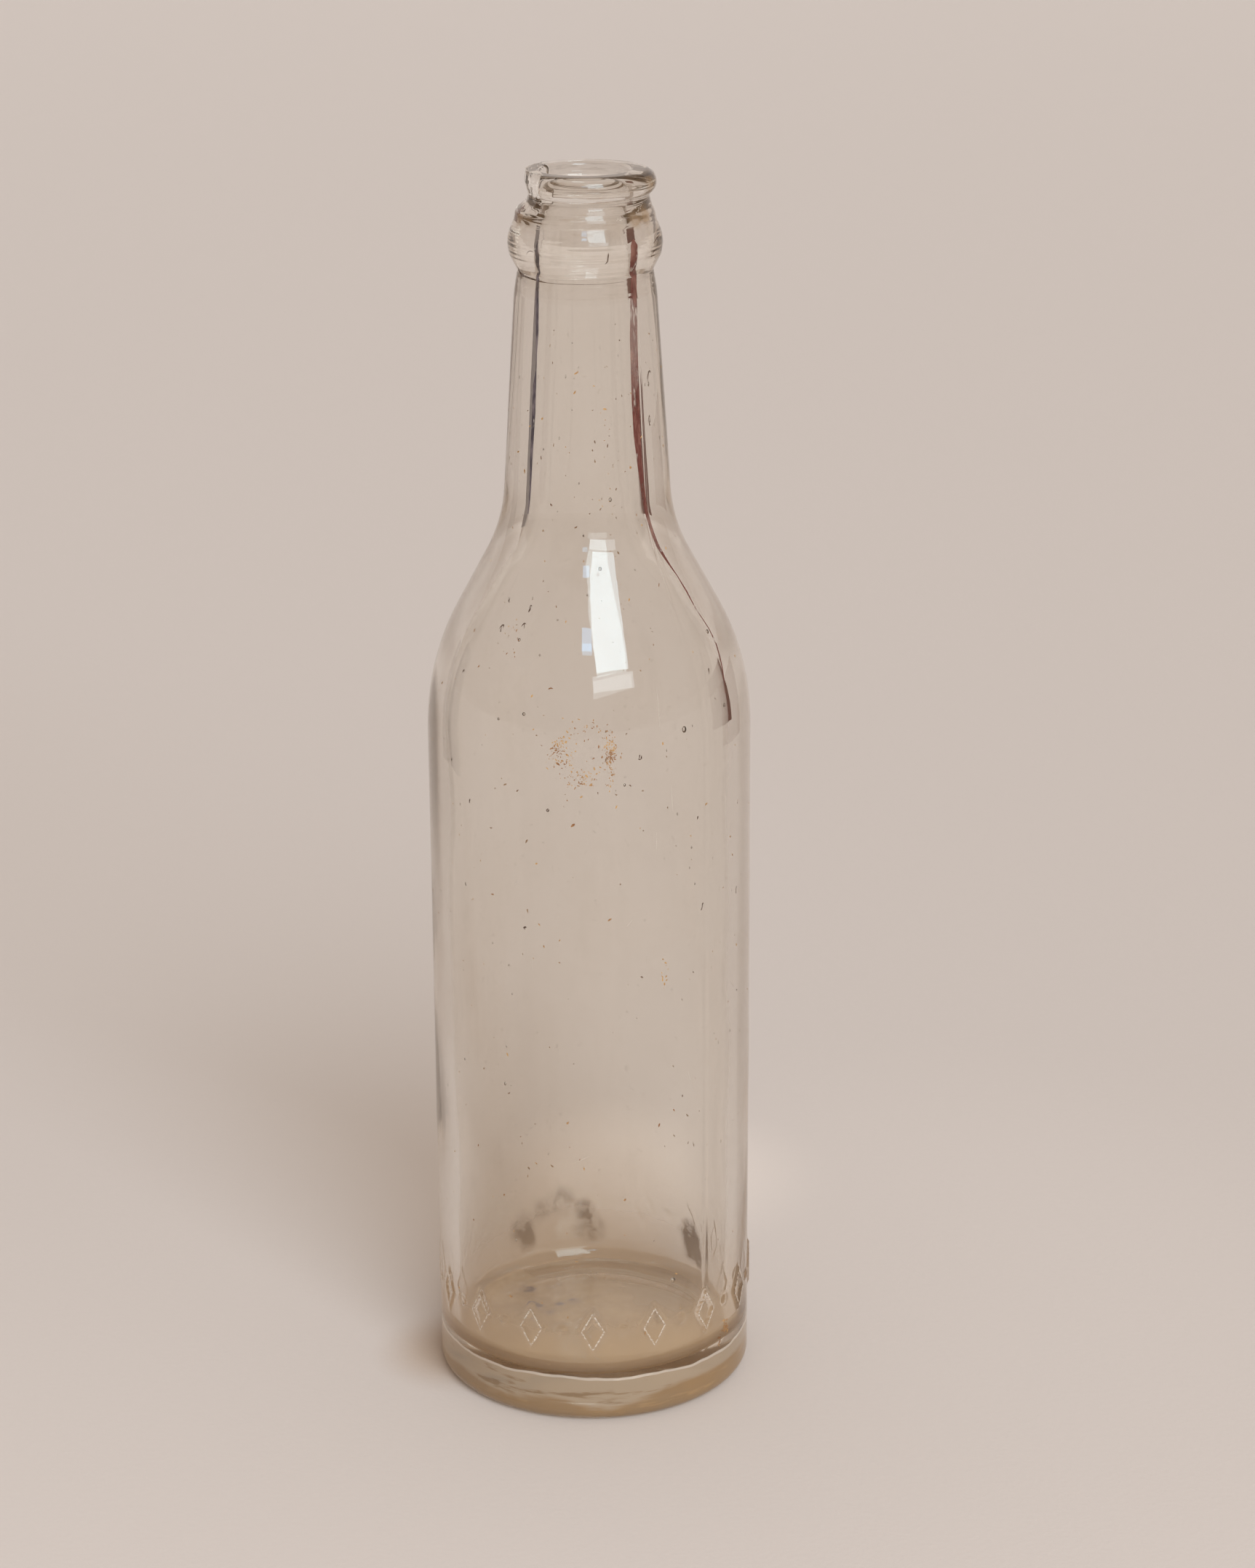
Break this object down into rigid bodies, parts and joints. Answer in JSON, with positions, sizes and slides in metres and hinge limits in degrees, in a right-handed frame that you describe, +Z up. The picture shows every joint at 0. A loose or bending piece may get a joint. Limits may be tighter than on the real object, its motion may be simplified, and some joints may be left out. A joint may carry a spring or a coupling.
{
  "type": "glass soda bottle",
  "caption": "Clear glass long-neck soda bottle with crown-cap lip, neck ring, sloping shoulder and pushed-up base; hollow, open at the top, chipped lip.",
  "frame": {"origin": "on the table, at the middle of the base", "axes": "+Z up along the bottle's axis; -Y towards the viewer; the lip's flake is on the -X side"},
  "size_m": [0.0632, 0.0632, 0.2413],
  "materials": {
    "clear_glass": "gloss, faint straw tint",
    "dried_residue": "matt, patchy rust and dried soda"
  },
  "bodies": {
    "root": {"glass_bottle": "clear_glass"}
  },
  "joints": []
}
